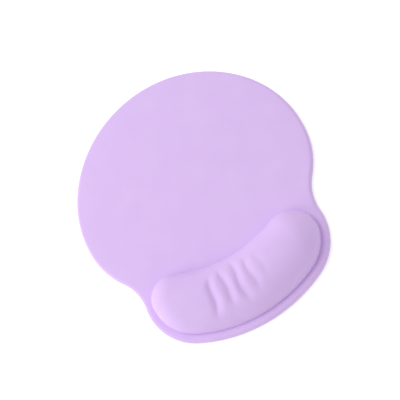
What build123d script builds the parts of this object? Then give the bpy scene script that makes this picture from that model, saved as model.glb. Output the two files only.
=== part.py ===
from build123d import *
import math
import os

# A wrist rest and mouse mat in one piece: a kidney-shaped gel cushion at the near end of a soft mat,
# under one stretched fabric cover. The pieces are laid up from the bottom: grip sheet, adhesive film,
# foam sheet with a window, gel pouch of two welded films in that window, adhesive film and fabric.
# Millimetres. The origin is on the resting face under the middle of the outline, X is to the user's
# right, Y runs from the cushion to the far edge of the mat, and Z is up.

# Thickness of each layer
GRIP_SHEET = 1.2
BASE_FILM = 0.2
COVER_FILM = 0.2
FABRIC = 0.65
POUCH_FILM = 0.3

# The mat's right side as tangent arcs from the far edge to the palm corner: radius and turn in degrees,
# clockwise from above. The waist turns the other way, and the near edge closes the outline.
MAT_ARCS = [
    (114.0, 55.5),  # far edge
    (103.5, 41.0),  # shoulder
    (74.5, 31.5),  # flank
    (44.0, -43.0),  # waist
    (48.5, 69.0),  # palm corner
]
MAT_HEIGHT = 4.8
MAT_EDGE_RADIUS = 3.2

# The cushion's outline runs parallel to the palm corners and the near edge, inside a pressed flange.
# Its ends are round and its far side is hollow.
FLANGE = 7.4
CUSHION_END_RADIUS = 22.0
CUSHION_HOLLOW_RADIUS = 120.0
CUSHION_HOLLOW_MIDDLE = 65.0  # from the near edge of the mat to the far side of the cushion, on the axis
CUSHION_HEIGHT = 24.0
CUSHION_CROWN_RADIUS = 45.0
CUSHION_CROWN_MIDLINE = 112.0  # radius of the curved line along the top of the crown
CUSHION_EDGE_RADIUS = 16.0

# Worked out from the sizes above
COVER = FABRIC + COVER_FILM
FOAM_BOTTOM = GRIP_SHEET + BASE_FILM
CROWN_HALF_WIDTH = CUSHION_HOLLOW_MIDDLE / 2


class Arc:
    """An arc of an outline that bulges outwards, or inwards if hollow, with its ends as angles."""

    def __init__(self, x, y, radius, first, last, hollow=False):
        self.x = x
        self.y = y
        self.radius = radius
        self.first = first
        self.last = last
        self.hollow = hollow

    def edge(self, inset):
        radius = self.radius + inset if self.hollow else self.radius - inset
        return CenterArc((self.x, self.y), radius, self.first, self.last - self.first)

    def mirrored(self):
        return Arc(-self.x, self.y, self.radius, 180 - self.last, 180 - self.first, self.hollow)


def mat_side():
    """The arcs of the mat's right side, far edge first, with the outline's middle at Y = 0."""
    x = 0.0
    y = 0.0
    heading = 0.0
    side = []
    for radius, turn in MAT_ARCS:
        bend = radius if turn > 0 else -radius
        centre_x = x + bend * math.sin(math.radians(heading))
        centre_y = y - bend * math.cos(math.radians(heading))
        if turn > 0:
            side.append(Arc(centre_x, centre_y, radius, heading - turn + 90, heading + 90))
        else:
            side.append(Arc(centre_x, centre_y, radius, heading - 90, heading - turn - 90, hollow=True))
        heading -= turn
        x = centre_x - bend * math.sin(math.radians(heading))
        y = centre_y + bend * math.cos(math.radians(heading))
    near_radius = -x / math.sin(math.radians(heading))
    near_y = y - near_radius * math.cos(math.radians(heading))
    side.append(Arc(0, near_y, near_radius, -90, heading + 90))
    middle = (near_y - near_radius) / 2
    for arc in side:
        arc.y -= middle
    return side


def cushion_side():
    """The arcs of the cushion's right side, from its hollow far side to its near side."""
    corner, near = mat_side()[-2:]
    corner_radius = corner.radius - FLANGE
    near_radius = near.radius - FLANGE
    hollow_y = near.y - near.radius + CUSHION_HOLLOW_MIDDLE + CUSHION_HOLLOW_RADIUS
    # The round end touches the hollow from outside and the corner arc from inside, so its centre is
    # where two circles round their centres cross.
    to_hollow = CUSHION_HOLLOW_RADIUS + CUSHION_END_RADIUS
    to_corner = corner_radius - CUSHION_END_RADIUS
    across = math.dist((0, hollow_y), (corner.x, corner.y))
    along = (to_hollow**2 - to_corner**2 + across**2) / (2 * across)
    aside = math.sqrt(to_hollow**2 - along**2)
    unit_x = corner.x / across
    unit_y = (corner.y - hollow_y) / across
    end_x = along * unit_x - aside * unit_y
    end_y = hollow_y + along * unit_y + aside * unit_x
    hollow_last = math.degrees(math.atan2(end_y - hollow_y, end_x))
    corner_last = math.degrees(math.atan2(end_y - corner.y, end_x - corner.x))
    return [
        Arc(0, hollow_y, CUSHION_HOLLOW_RADIUS, -90, hollow_last, hollow=True),
        Arc(end_x, end_y, CUSHION_END_RADIUS, corner_last, hollow_last + 180),
        Arc(corner.x, corner.y, corner_radius, corner.first, corner_last),
        Arc(0, near.y, near_radius, -90, near.last),
    ]


def outline_face(side, inset):
    """The face inside a mirrored outline, moved inwards by inset. Its first and last arcs cross X = 0."""
    far, *between, near = side
    far_middle = -90 if far.hollow else 90
    far_half = far.last - far.first
    near_half = near.last - near.first
    closing = [
        Arc(0, far.y, far.radius, far_middle - far_half, far_middle + far_half, far.hollow),
        Arc(0, near.y, near.radius, -90 - near_half, -90 + near_half),
    ]
    arcs = closing + between + [arc.mirrored() for arc in between]
    return make_face(Wire([arc.edge(inset) for arc in arcs]))


def slab(side, inset, bottom, top):
    return Pos(0, 0, bottom) * extrude(outline_face(side, inset), top - bottom)


def mat_body(inset, bottom):
    """The mat without its cushion, with the long radius round its upper edge."""
    body = slab(mat_side(), inset, bottom, MAT_HEIGHT - inset)
    rim = body.faces().sort_by(Axis.Z)[-1].edges()
    return fillet(rim, MAT_EDGE_RADIUS - inset)


def under_crown(inset, bottom):
    """Everything under the crown: a ring with a curved top, turned round the crown's own centre."""
    midline_y = mat_side()[-1].y - mat_side()[-1].radius + (FLANGE + CUSHION_HOLLOW_MIDDLE) / 2
    radius = CUSHION_CROWN_RADIUS - inset
    top = CUSHION_HEIGHT - inset
    drop = radius - math.sqrt(radius**2 - CROWN_HALF_WIDTH**2)
    inner = CUSHION_CROWN_MIDLINE - CROWN_HALF_WIDTH
    outer = CUSHION_CROWN_MIDLINE + CROWN_HALF_WIDTH
    crown = ThreePointArc((inner, top - drop), (CUSHION_CROWN_MIDLINE, top), (outer, top - drop))
    sides = Polyline((outer, top - drop), (outer, bottom), (inner, bottom), (inner, top - drop))
    section = Plane.XZ * make_face(Wire([crown, *sides.edges()]))
    ring = revolve(section, Axis.Z, 360)
    return Pos(0, midline_y + CUSHION_CROWN_MIDLINE, 0) * ring


def cushion_body(inset, bottom):
    """The cushion's dome and the straight walls under it, down to bottom."""
    body = slab(cushion_side(), inset, bottom, CUSHION_HEIGHT) & under_crown(inset, bottom - 1)
    top = body.faces().sort_by(Axis.Z)[-1]
    return fillet(top.edges(), CUSHION_EDGE_RADIUS - inset)


def skin(inset):
    """The whole body above the grip sheet, moved inwards by inset everywhere but at its bottom."""
    return mat_body(inset, GRIP_SHEET) + cushion_body(inset, GRIP_SHEET)


def make_grip_base():
    return slab(mat_side(), 0, 0, GRIP_SHEET)


def make_base_adhesive():
    return slab(mat_side(), COVER, GRIP_SHEET, FOAM_BOTTOM)


def make_foam_core():
    window = slab(cushion_side(), COVER, FOAM_BOTTOM, MAT_HEIGHT)
    return mat_body(COVER, FOAM_BOTTOM) - window


def make_gel_bottom_film():
    return slab(cushion_side(), COVER, FOAM_BOTTOM, FOAM_BOTTOM + POUCH_FILM)


def make_gel_top_film():
    bottom = FOAM_BOTTOM + POUCH_FILM
    return cushion_body(COVER, bottom) - cushion_body(COVER + POUCH_FILM, bottom)


def make_gel_fill():
    return cushion_body(COVER + POUCH_FILM, FOAM_BOTTOM + POUCH_FILM)


def make_cover_adhesive():
    return skin(FABRIC) - skin(COVER)


def make_cover_fabric():
    return skin(0) - skin(FABRIC)


pieces = {
    "grip_base": make_grip_base(),
    "base_adhesive": make_base_adhesive(),
    "foam_core": make_foam_core(),
    "gel_bottom_film": make_gel_bottom_film(),
    "gel_fill": make_gel_fill(),
    "gel_top_film": make_gel_top_film(),
    "cover_adhesive": make_cover_adhesive(),
    "cover_fabric": make_cover_fabric(),
}
os.makedirs("parts", exist_ok=True)
for name, piece in pieces.items():
    export_step(piece, f"parts/{name}.step")
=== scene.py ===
import math

import bmesh
import bpy
from mathutils import Euler, Matrix, Vector
from mathutils.kdtree import KDTree


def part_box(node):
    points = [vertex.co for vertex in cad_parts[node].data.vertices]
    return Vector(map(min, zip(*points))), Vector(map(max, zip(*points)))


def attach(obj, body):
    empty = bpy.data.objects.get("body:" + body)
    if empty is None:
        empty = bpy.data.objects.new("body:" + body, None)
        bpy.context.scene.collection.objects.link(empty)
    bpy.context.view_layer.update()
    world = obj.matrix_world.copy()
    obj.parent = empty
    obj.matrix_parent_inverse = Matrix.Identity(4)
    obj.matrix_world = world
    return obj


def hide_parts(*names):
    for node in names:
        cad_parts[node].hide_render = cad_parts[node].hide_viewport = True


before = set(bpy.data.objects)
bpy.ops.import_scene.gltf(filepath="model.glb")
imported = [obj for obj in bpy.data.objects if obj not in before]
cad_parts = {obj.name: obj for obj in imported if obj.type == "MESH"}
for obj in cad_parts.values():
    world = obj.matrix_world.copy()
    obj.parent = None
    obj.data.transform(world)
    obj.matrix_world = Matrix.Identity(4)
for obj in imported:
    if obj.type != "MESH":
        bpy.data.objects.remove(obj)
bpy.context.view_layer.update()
MM = 0.001

# ---------------------------------------------------------------------------------------------
# The plan of the mat. It is cut with a steel rule bent to tangent arcs: far edge, shoulders, flanks,
# hollow waists, palm corners and near edge. The cushion's foot runs parallel to the palm corners and
# the near edge inside a flange, has round ends, one blunter than the other, and is hollow at its back.

MAT_ARCS = [(114.0, 55.5), (103.5, 41.0), (74.5, 31.5), (44.0, -43.0), (48.5, 69.0)]  # mm, degrees
FLANGE = 7.4 * MM
RIGHT_END_RADIUS = 24.0 * MM
LEFT_END_RADIUS = 21.0 * MM
HOLLOW_RADIUS = 120.0 * MM
HOLLOW_FROM_NEAR_EDGE = 65.0 * MM
CREST_RADIUS = 112.0 * MM
SIDE_COLUMNS = 136  # along the hollow side, and again along the near side
END_COLUMNS = 46
CORNER_COLUMNS = 28
WELD = 0.002 * MM  # points closer than this are one

mat_low, mat_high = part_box("grip_base")


def arcs_of_mat():
    """The right side of the mat's edge, clockwise from the middle of the far edge. An arc is its centre's
    x and y, its radius, and its first and last angle, which fall on an arc that bulges outwards."""
    x, y, heading = 0.0, mat_high[1], 0.0
    arcs = []
    for radius, turn in MAT_ARCS:
        bend = math.copysign(radius * MM, turn)
        centre_x = x + bend * math.sin(heading)
        centre_y = y - bend * math.cos(heading)
        first = heading + math.copysign(math.pi / 2, turn)
        arcs.append((centre_x, centre_y, radius * MM, first, first - math.radians(turn)))
        heading -= math.radians(turn)
        x = centre_x - bend * math.sin(heading)
        y = centre_y + bend * math.cos(heading)
    near_radius = -x / math.sin(heading)
    near_y = y - near_radius * math.cos(heading)
    arcs.append((0.0, near_y, near_radius, heading + math.pi / 2, -math.pi / 2))
    return arcs


def walk(arcs, count):
    """Points at even steps along arcs, each with the direction outwards."""
    lengths = [radius * abs(last - first) for _, _, radius, first, last in arcs]
    for step in range(count + 1):
        rest = sum(lengths) * step / count
        arc = 0
        while arc < len(arcs) - 1 and rest > lengths[arc]:
            rest -= lengths[arc]
            arc += 1
        x, y, radius, first, last = arcs[arc]
        angle = first + (last - first) * rest / lengths[arc]
        unit = Vector((math.cos(angle), math.sin(angle)))
        yield Vector((x, y)) + unit * radius, unit if last < first else -unit


*upper_arcs, corner_arc, near_arc = arcs_of_mat()
corner = Vector(corner_arc[:2])
corner_radius, corner_first, corner_last = corner_arc[2:]
near_y, near_radius = near_arc[1:3]
hollow = Vector((0.0, near_y - near_radius + HOLLOW_FROM_NEAR_EDGE + HOLLOW_RADIUS))
crest_y = near_y - near_radius + (FLANGE + HOLLOW_FROM_NEAR_EDGE) / 2 + CREST_RADIUS


def right_columns(end_radius):
    """The columns of the cover from the far middle clockwise to the near middle: the point of the crest,
    the foot of the cushion and the rim of the mat, the last two with their directions outwards."""
    # The round end touches the hollow from outside and the palm corner from inside.
    inner = corner_radius - FLANGE
    from_hollow = HOLLOW_RADIUS + end_radius
    from_corner = inner - end_radius
    apart = (corner - hollow).length
    along = (from_hollow**2 - from_corner**2 + apart**2) / (2 * apart)
    unit = (corner - hollow) / apart
    end = hollow + unit * along + Vector((-unit.y, unit.x)) * math.sqrt(from_hollow**2 - along**2)
    hollow_last = math.atan2(end.y - hollow.y, end.x)
    end_last = math.atan2(end.y - corner.y, end.x - corner.x)

    # The crest runs along the top of the cushion to the middle of the round end, where a line straight
    # across from the end of the hollow meets the palm corner at the split. Its steps close up towards
    # the end, so that the sides of the cushion run smoothly into the fan round the end.
    crest_last = math.atan2(end.x, crest_y - end.y)
    across = Vector((math.cos(hollow_last), math.sin(hollow_last)))
    ahead = (end - corner).dot(across)
    reach = math.sqrt(ahead**2 - (end - corner).length_squared + inner**2) - ahead
    split = end + across * reach - corner
    split = math.atan2(split.y, split.x)
    crest = []
    for step in range(SIDE_COLUMNS + 1):
        share = step / SIDE_COLUMNS
        angle = crest_last * (5 * share - share**5) / 4
        crest.append(Vector((CREST_RADIUS * math.sin(angle), crest_y - CREST_RADIUS * math.cos(angle))))
    crest = crest + [crest[-1]] * (END_COLUMNS + CORNER_COLUMNS - 1) + crest[::-1]

    hollow_side = (*hollow, HOLLOW_RADIUS, -math.pi / 2, hollow_last)
    round_end = (*end, end_radius, hollow_last + math.pi, end_last)
    near_side = (0.0, near_y, near_radius - FLANGE, *near_arc[3:])
    feet = [
        *walk([hollow_side], SIDE_COLUMNS),
        *list(walk([round_end], END_COLUMNS))[1:],
        *list(walk([(*corner, inner, end_last, split)], CORNER_COLUMNS))[1:],
        *list(walk([(*corner, inner, split, corner_last), near_side], SIDE_COLUMNS))[1:],
    ]
    rims = [
        *walk([*upper_arcs, (*corner, corner_radius, corner_first, end_last)], SIDE_COLUMNS + END_COLUMNS),
        *list(walk([(*corner, corner_radius, end_last, split)], CORNER_COLUMNS))[1:],
        *list(walk([(*corner, corner_radius, split, corner_last), near_arc], SIDE_COLUMNS))[1:],
    ]
    return [(top, *foot, *rim) for top, foot, rim in zip(crest, feet, rims, strict=True)]


columns = right_columns(RIGHT_END_RADIUS)
for column in right_columns(LEFT_END_RADIUS)[-2::-1]:
    columns.append([Vector((-point.x, point.y)) for point in column])
rim_tree = KDTree(len(columns))
for index, column in enumerate(columns):
    rim_tree.insert((*column[3], 0.0), index)
rim_tree.balance()

# ---------------------------------------------------------------------------------------------
# Grip sheet. A skin of foamed polyurethane, matched to the cover, with small square studs moulded in its
# underside. It is cut to the full outline, and everything above is bonded to it.

GRIP_THICKNESS = mat_high[2] - mat_low[2]
STUD_HEIGHT = 0.3 * MM
STUD_PITCH = 4.2 * MM
STUD_GAP = 1.1 * MM
STUD_EDGE = 0.25 * MM
STUD_MARGIN = 2.5 * MM  # from the rim to the nearest stud


def noise_bump(nodes, links, coordinates, scale, detail, distance, strength):
    noise = nodes.new("ShaderNodeTexNoise")
    noise.inputs["Scale"].default_value = scale
    noise.inputs["Detail"].default_value = detail
    links.new(coordinates, noise.inputs["Vector"])
    bump = nodes.new("ShaderNodeBump")
    bump.inputs["Distance"].default_value = distance
    bump.inputs["Strength"].default_value = strength
    links.new(noise.outputs["Fac"], bump.inputs["Height"])
    return bump


def two_tones(nodes, links, coordinates, scale, detail, light, dark, spread):
    """Two close tones in soft patches, fading into each other over a spread of the noise."""
    patches = nodes.new("ShaderNodeTexNoise")
    patches.inputs["Scale"].default_value = scale
    patches.inputs["Detail"].default_value = detail
    links.new(coordinates, patches.inputs["Vector"])
    tones = nodes.new("ShaderNodeValToRGB")
    tones.color_ramp.elements[0].position = 0.5 - spread / 2
    tones.color_ramp.elements[0].color = (*dark, 1.0)
    tones.color_ramp.elements[1].position = 0.5 + spread / 2
    tones.color_ramp.elements[1].color = (*light, 1.0)
    links.new(patches.outputs["Fac"], tones.inputs["Fac"])
    return tones.outputs["Color"]


def mottled(name, light, dark, scale, roughness, bump_scale, bump_distance, bump_strength=0.5):
    """A plain moulded or foamed material: soft patches of tone, and a fine uneven surface."""
    material = bpy.data.materials.new(name)
    material.use_nodes = True
    nodes, links = material.node_tree.nodes, material.node_tree.links
    shader = nodes["Principled BSDF"]
    shader.inputs["Roughness"].default_value = roughness
    place = nodes.new("ShaderNodeTexCoord").outputs["Object"]
    colour = two_tones(nodes, links, place, scale, 4.0, light, dark, 0.3)
    links.new(colour, shader.inputs["Base Color"])
    bump = noise_bump(nodes, links, place, bump_scale, 3.0, bump_distance, bump_strength)
    links.new(bump.outputs["Normal"], shader.inputs["Normal"])
    return material


def closed_down_to(bm, height):
    """The body between a sheet and a flat face at that height."""
    raised = bmesh.ops.extrude_face_region(bm, geom=bm.faces[:], use_keep_orig=True)["geom"]
    for part in raised:
        if isinstance(part, bmesh.types.BMVert):
            part.co.z = height
    bmesh.ops.recalc_face_normals(bm, faces=bm.faces)
    return bm


def made_piece(bm, name, material, slot, *cad_nodes):
    """The finished object of a piece, which stands for its CAD nodes."""
    mesh = bpy.data.meshes.new(name)
    bm.to_mesh(mesh)
    bm.free()
    mesh.materials.append(material)
    piece = bpy.data.objects.new(name, mesh)
    bpy.context.collection.objects.link(piece)
    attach(piece, "root")
    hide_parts(*cad_nodes)
    return piece


bm = bmesh.new()
bmesh.ops.create_circle(bm, cap_ends=True, radius=1.0, segments=len(columns) - 1)
for vert, column in zip(bm.verts, columns):
    vert.co = (*column[3], GRIP_THICKNESS)
closed_down_to(bm, STUD_HEIGHT)

studs = bmesh.new()
half_grid = (mat_high[1] - mat_low[1]) / 2 * math.sqrt(2)
cells = round(2 * half_grid / STUD_PITCH)
bmesh.ops.create_grid(studs, x_segments=cells, y_segments=cells, size=half_grid)
bmesh.ops.rotate(studs, matrix=Matrix.Rotation(math.radians(45), 3, "Z"), verts=studs.verts)
bmesh.ops.translate(studs, vec=(0, 0, STUD_HEIGHT + STUD_EDGE / 2), verts=studs.verts)
outside = []
for face in studs.faces:
    middle = face.calc_center_median()
    rim, index, _ = rim_tree.find((*middle.xy, 0.0))
    if (middle.xy - rim.xy).dot(columns[index][4]) > -STUD_MARGIN - STUD_PITCH / 2:
        outside.append(face)
bmesh.ops.delete(studs, geom=outside, context="FACES")
frames = bmesh.ops.inset_individual(studs, faces=studs.faces[:], thickness=STUD_GAP / 2)["faces"]
bmesh.ops.delete(studs, geom=frames, context="FACES")
raised = bmesh.ops.extrude_face_region(studs, geom=studs.faces[:], use_keep_orig=True)["geom"]
tips = [part for part in raised if isinstance(part, bmesh.types.BMFace)]
lowered = [part for part in raised if isinstance(part, bmesh.types.BMVert)]
bmesh.ops.translate(studs, vec=(0, 0, -STUD_HEIGHT), verts=lowered)
bmesh.ops.inset_individual(studs, faces=tips, thickness=STUD_EDGE)
for vert in {vert for tip in tips for vert in tip.verts}:
    vert.co.z = mat_low[2]
bmesh.ops.recalc_face_normals(studs, faces=studs.faces)
stud_mesh = bpy.data.meshes.new("studs")
studs.to_mesh(stud_mesh)
studs.free()
bm.from_mesh(stud_mesh)
bpy.data.meshes.remove(stud_mesh)

grip_rubber = mottled("grip foam", (0.60, 0.42, 0.78), (0.56, 0.385, 0.74), 90.0, 0.8, 3000.0, 0.00006)
grip_sheet = made_piece(bm, "grip_sheet", grip_rubber, "grip_sheet", "grip_base")

# ---------------------------------------------------------------------------------------------
# Base adhesive. A clear hot-melt film, ironed between the grip sheet and the foam.

base_glue = mottled("hot-melt film", (0.84, 0.82, 0.78), (0.79, 0.77, 0.72), 60.0, 0.35, 900.0, 0.00004)
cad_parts["base_adhesive"].data.materials.clear()
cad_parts["base_adhesive"].data.materials.append(base_glue)

# ---------------------------------------------------------------------------------------------
# The pressing mould. The layers above the grip sheet are pressed hot in one mould, and its face is the
# outside of the finished cover. It is one sheet of columns and rows: over the cushion from crest to
# foot, down into a pressed groove, across flange and mouse field, round the rim and down to the hem.

COVER_THICKNESS = 0.65 * MM
GLUE_THICKNESS = 0.2 * MM
FILM_THICKNESS = 0.3 * MM
FIELD_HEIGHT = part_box("foam_core")[1][2] + GLUE_THICKNESS + COVER_THICKNESS
CREST_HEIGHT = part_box("cover_fabric")[1][2]
HEM_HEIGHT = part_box("cover_fabric")[0][2]
DOME_ROWS = 36
SWELL_ROOM = 0.85 * MM
GROOVE_STEPS = [0.25 * MM, 0.6 * MM, 1.1 * MM, 1.8 * MM, 2.8 * MM]
GROOVE_DEPTH = 0.85 * MM
GROOVE_WIDTH = 1.1 * MM
GROOVE_SHARE = 0.6  # of its depth at the near middle
GROOVE_RIGHT_GAIN = 0.6
GROOVE_LEFT_LOSS = 0.4
GROOVE_END = 0.5  # how far the direction outwards may point away from the user
GROOVE_FADE = 0.6
FIELD_ROWS = 8
RIM_RADIUS = 3.2 * MM
RIM_ROWS = 9
HEM_ROWS = 2

# Five creases cross the middle of the cushion, where the bend of the kidney shape slackens the cover. Each
# has a place along the crest, a depth, a middle and a half length across the crest, all in millimetres,
# and a lean. Its left wall is steeper than its right one, beyond which the cover stands up in a soft fold.
CREASES = [
    (-26.0, 2.3, 2.5, 15.5, 0.05),
    (-12.4, 1.95, -1.0, 14.5, 0.12),
    (-0.6, 1.75, -2.0, 17.0, 0.00),
    (11.4, 1.2, -2.0, 14.0, -0.05),
    (23.3, 0.4, -3.0, 11.0, -0.09),
]
CREASE_LEFT = 1.8
CREASE_RIGHT = 2.9
CREASE_WALL_POWER = 1.6  # above 2 the bottom is flat, below it is a notch
CREASE_END_POWER = 5
CREASE_BEND = 0.8  # how far a crease swings to either side of its line
CREASE_WAVE = 4.2  # millimetres across the crest for one radian of the swing
CREASE_WAVE_START = 2.1  # radians between one crease's swing and the next one's
FOLD_BESIDE = 6.0
FOLD_WIDTH = 2.5
FOLD_HEIGHT = 0.24  # of the crease's depth

field_start = DOME_ROWS + len(GROOVE_STEPS)
rim_start = field_start + FIELD_ROWS
row_count = rim_start + RIM_ROWS + HEM_ROWS


def groove(outward, distance):
    """How deep the cover is pressed at a distance from the foot: most at the right end, a little at the
    left end, and not at all towards the mouse."""
    near = min(max((GROOVE_END - outward.y) / GROOVE_FADE, 0.0), 1.0)
    change = GROOVE_RIGHT_GAIN if outward.x > 0 else GROOVE_LEFT_LOSS
    share = near * near * (3 - 2 * near) * (GROOVE_SHARE + change * outward.x)
    width = GROOVE_WIDTH * (1 + max(outward.x, 0.0))
    return GROOVE_DEPTH * share * math.exp(-((distance / width) ** 2))


def creases(x, y):
    """How deep the cover dips into the creases at a point of the cushion."""
    along = CREST_RADIUS * math.atan2(x, crest_y - y) / MM
    out = (math.hypot(x, crest_y - y) - CREST_RADIUS) / MM
    dip = 0.0
    for number, (place, depth, middle, half_length, lean) in enumerate(CREASES):
        swing = CREASE_BEND * math.sin(out / CREASE_WAVE + CREASE_WAVE_START * number)
        beside = along - place - lean * out - swing
        width = CREASE_LEFT if beside < 0 else CREASE_RIGHT
        wall = math.exp(-(abs(beside / width) ** CREASE_WALL_POWER) / 2)
        fold = FOLD_HEIGHT * math.exp(-(((beside - FOLD_BESIDE) / FOLD_WIDTH) ** 2) / 2)
        dip += depth * (wall - fold) * math.exp(-(abs((out - middle) / half_length) ** CREASE_END_POWER))
    return dip * MM


def on_mould(column, row):
    """Where a column crosses a row, before the cushion swells and creases."""
    crest, foot, foot_outward, rim, rim_outward = columns[column]
    if row <= DOME_ROWS:
        angle = math.pi / 2 * row / DOME_ROWS
        plan = crest + (foot - crest) * math.sin(angle)
        foot_height = FIELD_HEIGHT - groove(foot_outward, 0.0)
        rise = (CREST_HEIGHT - SWELL_ROOM - foot_height) * max(math.cos(angle), 0.0)
        return Vector((*plan, foot_height + rise))
    if row <= field_start:
        distance = GROOVE_STEPS[row - DOME_ROWS - 1]
        return Vector((*(foot + foot_outward * distance), FIELD_HEIGHT - groove(foot_outward, distance)))
    if row <= rim_start:
        start = foot + foot_outward * GROOVE_STEPS[-1]
        finish = rim - rim_outward * RIM_RADIUS
        share = (row - field_start) / FIELD_ROWS
        height = FIELD_HEIGHT - groove(foot_outward, GROOVE_STEPS[-1]) * (1 - share)
        return Vector((*(start + (finish - start) * share), height))
    angle = math.pi / 2 * min((row - rim_start) / RIM_ROWS, 1.0)
    plan = rim - rim_outward * RIM_RADIUS * (1 - math.sin(angle))
    height = FIELD_HEIGHT - RIM_RADIUS * (1 - math.cos(angle))
    lower = max(row - rim_start - RIM_ROWS, 0) / HEM_ROWS
    return Vector((*plan, height + (HEM_HEIGHT - height) * lower))


# The gel presses the pouch out against the cover. A coarse pouch is blown up as cloth from a slightly
# lower form, held at its foot and its flat bottom. Each place on the mould's face then takes over how far
# the pouch moved there.
POUCH_VOXEL = 3.5 * MM
POUCH_ROW_STEP = 3
POUCH_FRAMES = 20
SWELL_LIMIT = 1.4 * MM
SWELL_REACH = 3.0 * MM  # over which the moves of the coarse pouch are blended
SWELL_NEIGHBOURS = 12
SWELL_FADE_ROWS = 8  # next to the foot
SWELL_SMOOTHING = 3

pouch_tree = None
bm = bmesh.new()
pouch_rows = DOME_ROWS // POUCH_ROW_STEP
bmesh.ops.create_grid(bm, x_segments=len(columns) - 1, y_segments=pouch_rows, size=1.0)
for vert in bm.verts:
    column = round((vert.co.x + 1) / 2 * (len(columns) - 1))
    row = round((vert.co.y + 1) / 2 * pouch_rows) * POUCH_ROW_STEP
    vert.co = on_mould(column, row)
bmesh.ops.remove_doubles(bm, verts=bm.verts, dist=WELD)
closed_down_to(bm, 0.0)
pouch_mesh = bpy.data.meshes.new("pouch")
bm.to_mesh(pouch_mesh)
bm.free()
pouch = bpy.data.objects.new("pouch", pouch_mesh)
bpy.context.collection.objects.link(pouch)
remesh = pouch.modifiers.new("remesh", "REMESH")
remesh.mode = "VOXEL"
remesh.voxel_size = POUCH_VOXEL
coarse = bpy.data.meshes.new_from_object(pouch.evaluated_get(bpy.context.evaluated_depsgraph_get()))
pouch.modifiers.clear()
pouch.data = coarse
bpy.data.meshes.remove(pouch_mesh)
still = [vert.index for vert in coarse.vertices if vert.co.z < FIELD_HEIGHT]
pouch.vertex_groups.new(name="still").add(still, 1.0, "REPLACE")
cloth = pouch.modifiers.new("cloth", "CLOTH")
cloth.settings.quality = 6
cloth.settings.mass = 0.001
cloth.settings.bending_stiffness = 0.01
cloth.settings.vertex_group_mass = "still"
cloth.settings.use_pressure = True
cloth.settings.uniform_pressure_force = 50.0
cloth.settings.effector_weights.gravity = 0.0
cloth.point_cache.frame_end = POUCH_FRAMES
for step in range(1, POUCH_FRAMES + 1):
    bpy.context.scene.frame_set(step)
blown = pouch.evaluated_get(bpy.context.evaluated_depsgraph_get()).data.vertices
starts = [vert.co.copy() for vert in coarse.vertices]
pouch_moves = [blown[index].co - start for index, start in enumerate(starts)]
linked = [[] for _ in starts]
for edge in coarse.edges:
    linked[edge.vertices[0]].append(edge.vertices[1])
    linked[edge.vertices[1]].append(edge.vertices[0])
bpy.data.objects.remove(pouch)
bpy.data.meshes.remove(coarse)
bpy.context.scene.frame_set(1)
for _ in range(SWELL_SMOOTHING):
    rough = list(pouch_moves)
    for index, beside in enumerate(linked):
        mean = sum((rough[other] for other in beside), Vector()) / len(beside)
        pouch_moves[index] = (rough[index] + mean) / 2
pouch_tree = KDTree(len(starts))
for index, start in enumerate(starts):
    pouch_tree.insert(start, index)
pouch_tree.balance()


def swell(column, row):
    """How far the gel pushes out the place where a column crosses a row: nothing at the foot."""
    push = Vector((0.0, 0.0, 0.0))
    if row >= DOME_ROWS or pouch_tree is None:
        return push
    total = 0.0
    for _, index, distance in pouch_tree.find_n(on_mould(column, row), SWELL_NEIGHBOURS):
        weight = math.exp(-((distance / SWELL_REACH) ** 2))
        push += pouch_moves[index] * weight
        total += weight
    push *= min((DOME_ROWS - row) / SWELL_FADE_ROWS, 1.0) / total
    return push.normalized() * SWELL_LIMIT * math.tanh(push.length / SWELL_LIMIT)


mould = bmesh.new()
bmesh.ops.create_grid(mould, x_segments=len(columns) - 1, y_segments=row_count, size=1.0)
row_of = mould.faces.layers.int.new("row")
knit = mould.loops.layers.uv.new("knit")
place_of = {
    vert: (
        round((vert.co.x + 1) / 2 * (len(columns) - 1)),
        round((vert.co.y + 1) / 2 * row_count),
    )
    for vert in mould.verts
}
points = {place: on_mould(*place) + swell(*place) for place in place_of.values()}
for (column, row), point in points.items():
    if row < DOME_ROWS:
        point.z -= creases(point.x, point.y)

# The knit's own coordinates: the cover as it lies flat, so the stitches keep their size on the cushion
# and round the rim.
laid = {}
for column, (crest, foot, _, _, rim_outward) in enumerate(columns):
    run = 0.0
    for row in range(row_count + 1):
        if row in (0, rim_start):
            run = 0.0
        else:
            run += (points[column, row] - points[column, row - 1]).length
        if row <= DOME_ROWS:
            laid[column, row] = crest + (foot - crest).normalized() * run
        elif row <= rim_start:
            laid[column, row] = points[column, row].xy
        else:
            laid[column, row] = points[column, rim_start].xy + rim_outward * run
for face in mould.faces:
    face[row_of] = min(place_of[vert][1] for vert in face.verts)
    for loop in face.loops:
        place = place_of[loop.vert]
        at_foot = place[1] == DOME_ROWS and face[row_of] == DOME_ROWS
        loop[knit].uv = points[place].xy if at_foot else laid[place]
for vert, place in place_of.items():
    vert.co = points[place]
bmesh.ops.remove_doubles(mould, verts=mould.verts, dist=WELD)
bmesh.ops.recalc_face_normals(mould, faces=mould.faces)
mould.normal_update()
if mould.faces[0].normal.z < 0:
    bmesh.ops.reverse_faces(mould, faces=mould.faces)


def layer(depth, first_row=0, last_row=row_count):
    """A layer of the lay-up: the mould's face moved inwards by depth, from one row to another."""
    bm = mould.copy()
    bm.normal_update()
    moved = [(vert, vert.co - vert.normal * depth) for vert in bm.verts]
    for vert, place in moved:
        vert.co = place
    rows = bm.faces.layers.int["row"]
    dropped = [face for face in bm.faces if not first_row <= face[rows] < last_row]
    bmesh.ops.delete(bm, geom=dropped, context="FACES")
    return bm


def smooth(bm):
    for face in bm.faces:
        face.smooth = True
    return bm


# ---------------------------------------------------------------------------------------------
# Foam core. A sheet of soft open-cell foam with a kidney-shaped window for the gel pouch. It is pressed
# thin along the groove, and rounded at the rim where the cover is drawn down over it.

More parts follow.
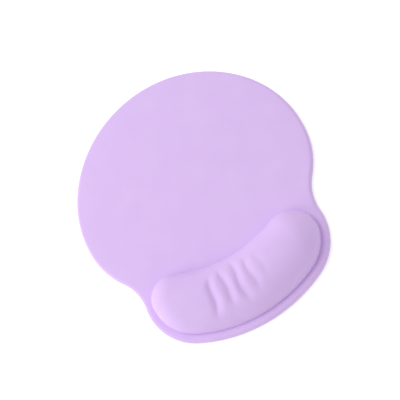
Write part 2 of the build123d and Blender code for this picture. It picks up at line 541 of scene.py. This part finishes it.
FOAM_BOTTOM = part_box("foam_core")[0][2]
foam = mottled("open-cell foam", (0.83, 0.81, 0.77), (0.76, 0.74, 0.70), 700.0, 0.95, 2500.0, 0.0002)
bm = layer(COVER_THICKNESS + GLUE_THICKNESS, DOME_ROWS, rim_start + RIM_ROWS)
foam_sheet = made_piece(smooth(closed_down_to(bm, FOAM_BOTTOM)), "foam_sheet", foam, "foam", "foam_core")

# ---------------------------------------------------------------------------------------------
# Gel pouch. Two films of clear polyurethane, the lower flat and the upper formed to the cushion, welded
# round the foot and filled with a soft gel.

pouch_film = mottled("pouch film", (0.80, 0.76, 0.86), (0.76, 0.72, 0.83), 50.0, 0.25, 500.0, 0.00004)
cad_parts["gel_bottom_film"].data.materials.clear()
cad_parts["gel_bottom_film"].data.materials.append(pouch_film)
POUCH_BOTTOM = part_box("gel_fill")[0][2]

gel = mottled("gel", (0.80, 0.72, 0.88), (0.76, 0.68, 0.85), 60.0, 0.3, 400.0, 0.00005)
bm = layer(COVER_THICKNESS + GLUE_THICKNESS + FILM_THICKNESS, 0, DOME_ROWS)
gel_body = made_piece(smooth(closed_down_to(bm, POUCH_BOTTOM)), "gel_body", gel, "gel", "gel_fill")

bm = layer(COVER_THICKNESS + GLUE_THICKNESS, 0, DOME_ROWS)
foot_edges = [edge for edge in bm.edges if edge.is_boundary]
dropped = bmesh.ops.extrude_edge_only(bm, edges=foot_edges)["geom"]
for part in dropped:
    if isinstance(part, bmesh.types.BMVert):
        part.co.z = POUCH_BOTTOM
bmesh.ops.recalc_face_normals(bm, faces=bm.faces)
bmesh.ops.solidify(bm, geom=bm.faces[:], thickness=FILM_THICKNESS)
upper_film = made_piece(smooth(bm), "upper_film", pouch_film, "pouch_film", "gel_top_film")

# ---------------------------------------------------------------------------------------------
# Cover adhesive. The same hot-melt film, under the whole of the cover.

bm = layer(COVER_THICKNESS)
bmesh.ops.solidify(bm, geom=bm.faces[:], thickness=GLUE_THICKNESS)
cover_glue = made_piece(smooth(bm), "cover_glue", base_glue, "adhesive_film", "cover_adhesive")

# ---------------------------------------------------------------------------------------------
# Cover. One piece of lilac stretch knit, polyester with a little elastane, brushed on its face. It is
# pressed over cushion and mat, drawn down round the rim, and trimmed level with the grip sheet.

LILAC = (0.750, 0.548, 0.915)
LILAC_DEEP = (0.725, 0.522, 0.900)
WALE_PITCH = 0.75 * MM
COURSE_PITCH = 0.6 * MM


def knit_cloth(name):
    """A fine stretch knit, its wales and courses laid along the knit coordinates."""
    material = bpy.data.materials.new(name)
    material.use_nodes = True
    nodes, links = material.node_tree.nodes, material.node_tree.links
    shader = nodes["Principled BSDF"]
    shader.inputs["Roughness"].default_value = 0.85
    shader.inputs["Specular IOR Level"].default_value = 0.25
    shader.inputs["Sheen Weight"].default_value = 0.2
    shader.inputs["Sheen Roughness"].default_value = 0.45
    shader.inputs["Sheen Tint"].default_value = (0.93, 0.87, 1.0, 1.0)
    place = nodes.new("ShaderNodeTexCoord").outputs["Object"]
    colour = two_tones(nodes, links, place, 45.0, 5.0, LILAC, LILAC_DEEP, 0.4)

    stitches = nodes.new("ShaderNodeUVMap")
    stitches.uv_map = "knit"
    courses = nodes.new("ShaderNodeTexWave")
    courses.bands_direction = "Y"
    courses.inputs["Scale"].default_value = math.pi / 10 / COURSE_PITCH
    links.new(stitches.outputs["UV"], courses.inputs["Vector"])
    slant = nodes.new("ShaderNodeMath")
    slant.operation = "MULTIPLY"
    slant.inputs[1].default_value = 1.8
    links.new(courses.outputs["Fac"], slant.inputs[0])
    wales = nodes.new("ShaderNodeTexWave")
    wales.bands_direction = "X"
    wales.inputs["Scale"].default_value = math.pi / 10 / WALE_PITCH
    wales.inputs["Distortion"].default_value = 0.6
    links.new(stitches.outputs["UV"], wales.inputs["Vector"])
    links.new(slant.outputs["Value"], wales.inputs["Phase Offset"])
    loops = nodes.new("ShaderNodeMath")
    loops.operation = "MULTIPLY_ADD"
    loops.inputs[1].default_value = 0.35
    links.new(courses.outputs["Fac"], loops.inputs[0])
    links.new(wales.outputs["Fac"], loops.inputs[2])
    shadow = nodes.new("ShaderNodeMix")
    shadow.data_type = "RGBA"
    shadow.blend_type = "MULTIPLY"
    shadow.inputs["B"].default_value = (0.95, 0.94, 0.965, 1.0)
    deep = nodes.new("ShaderNodeMath")
    deep.operation = "SUBTRACT"
    deep.use_clamp = True
    deep.inputs[0].default_value = 1.0
    links.new(wales.outputs["Fac"], deep.inputs[1])
    links.new(deep.outputs["Value"], shadow.inputs["Factor"])
    links.new(colour, shadow.inputs["A"])
    links.new(shadow.outputs["Result"], shader.inputs["Base Color"])

    fibres = noise_bump(nodes, links, place, 4000.0, 3.0, 0.00004, 0.6)
    weave = nodes.new("ShaderNodeBump")
    weave.inputs["Distance"].default_value = 0.00007
    weave.inputs["Strength"].default_value = 0.6
    links.new(loops.outputs["Value"], weave.inputs["Height"])
    links.new(fibres.outputs["Normal"], weave.inputs["Normal"])
    links.new(weave.outputs["Normal"], shader.inputs["Normal"])
    return material


cover_cloth = knit_cloth("lilac stretch knit")
bm = layer(0.0)
mould.free()
bmesh.ops.solidify(bm, geom=bm.faces[:], thickness=COVER_THICKNESS)
cover = made_piece(smooth(bm), "cover", cover_cloth, "cover_fabric", "cover_fabric")

# ---------------------------------------------------------------------------------------------
# The studio: a white floor under soft light from the left and the far left, and a camera high over the
# user's side, rolled so that the mat lies aslant.

floor = bpy.data.materials.new("white sweep")
floor.use_nodes = True
paper = floor.node_tree.nodes["Principled BSDF"]
paper.inputs["Base Color"].default_value = (0.95, 0.95, 0.95, 1.0)
paper.inputs["Roughness"].default_value = 0.9
paper.inputs["Specular IOR Level"].default_value = 0.0
paper.inputs["Emission Color"].default_value = (1.0, 1.0, 1.0, 1.0)
paper.inputs["Emission Strength"].default_value = 0.3
bm = bmesh.new()
bmesh.ops.create_grid(bm, x_segments=1, y_segments=1, size=10.0)
sweep_mesh = bpy.data.meshes.new("sweep")
bm.to_mesh(sweep_mesh)
bm.free()
sweep_mesh.materials.append(floor)
sweep = bpy.data.objects.new("sweep", sweep_mesh)
bpy.context.collection.objects.link(sweep)


def softbox(name, direction, distance, size, power):
    data = bpy.data.lights.new(name, "AREA")
    data.shape = "DISK"
    data.size = size
    data.energy = power
    lamp = bpy.data.objects.new(name, data)
    lamp.location = Vector(direction).normalized() * distance
    lamp.rotation_euler = Vector(direction).to_track_quat("Z", "Y").to_euler()
    bpy.context.collection.objects.link(lamp)


softbox("high", (-0.45, 0.45, 0.77), 1.6, 0.9, 8.4)
softbox("low", (-0.94, 0.0, 0.34), 1.6, 0.9, 7.0)
sky = bpy.data.worlds.new("studio")
bpy.context.scene.world = sky
sky.use_nodes = True
sky.node_tree.nodes["Background"].inputs["Color"].default_value = (1.0, 1.0, 1.0, 1.0)
sky.node_tree.nodes["Background"].inputs["Strength"].default_value = 0.68
bpy.context.scene.view_settings.view_transform = "Standard"

VIEW_TURN = math.radians(17.6)
VIEW_RISE = math.radians(67.9)
VIEW_ROLL = math.radians(-46.8)
VIEW_DISTANCE = 0.743
camera = bpy.data.objects.new("camera", bpy.data.cameras.new("camera"))
camera.data.lens = 75.0
camera.data.clip_start = 0.05
bpy.context.collection.objects.link(camera)
turned = Euler((math.pi / 2 - VIEW_RISE, 0.0, VIEW_TURN), "XYZ").to_matrix()
turned = turned @ Matrix.Rotation(VIEW_ROLL, 3, "Z")
aim = turned @ Vector((-0.65 * MM, 0.45 * MM, 0.0))
camera.matrix_world = Matrix.Translation(aim + turned.col[2] * VIEW_DISTANCE) @ turned.to_4x4()
bpy.context.scene.camera = camera
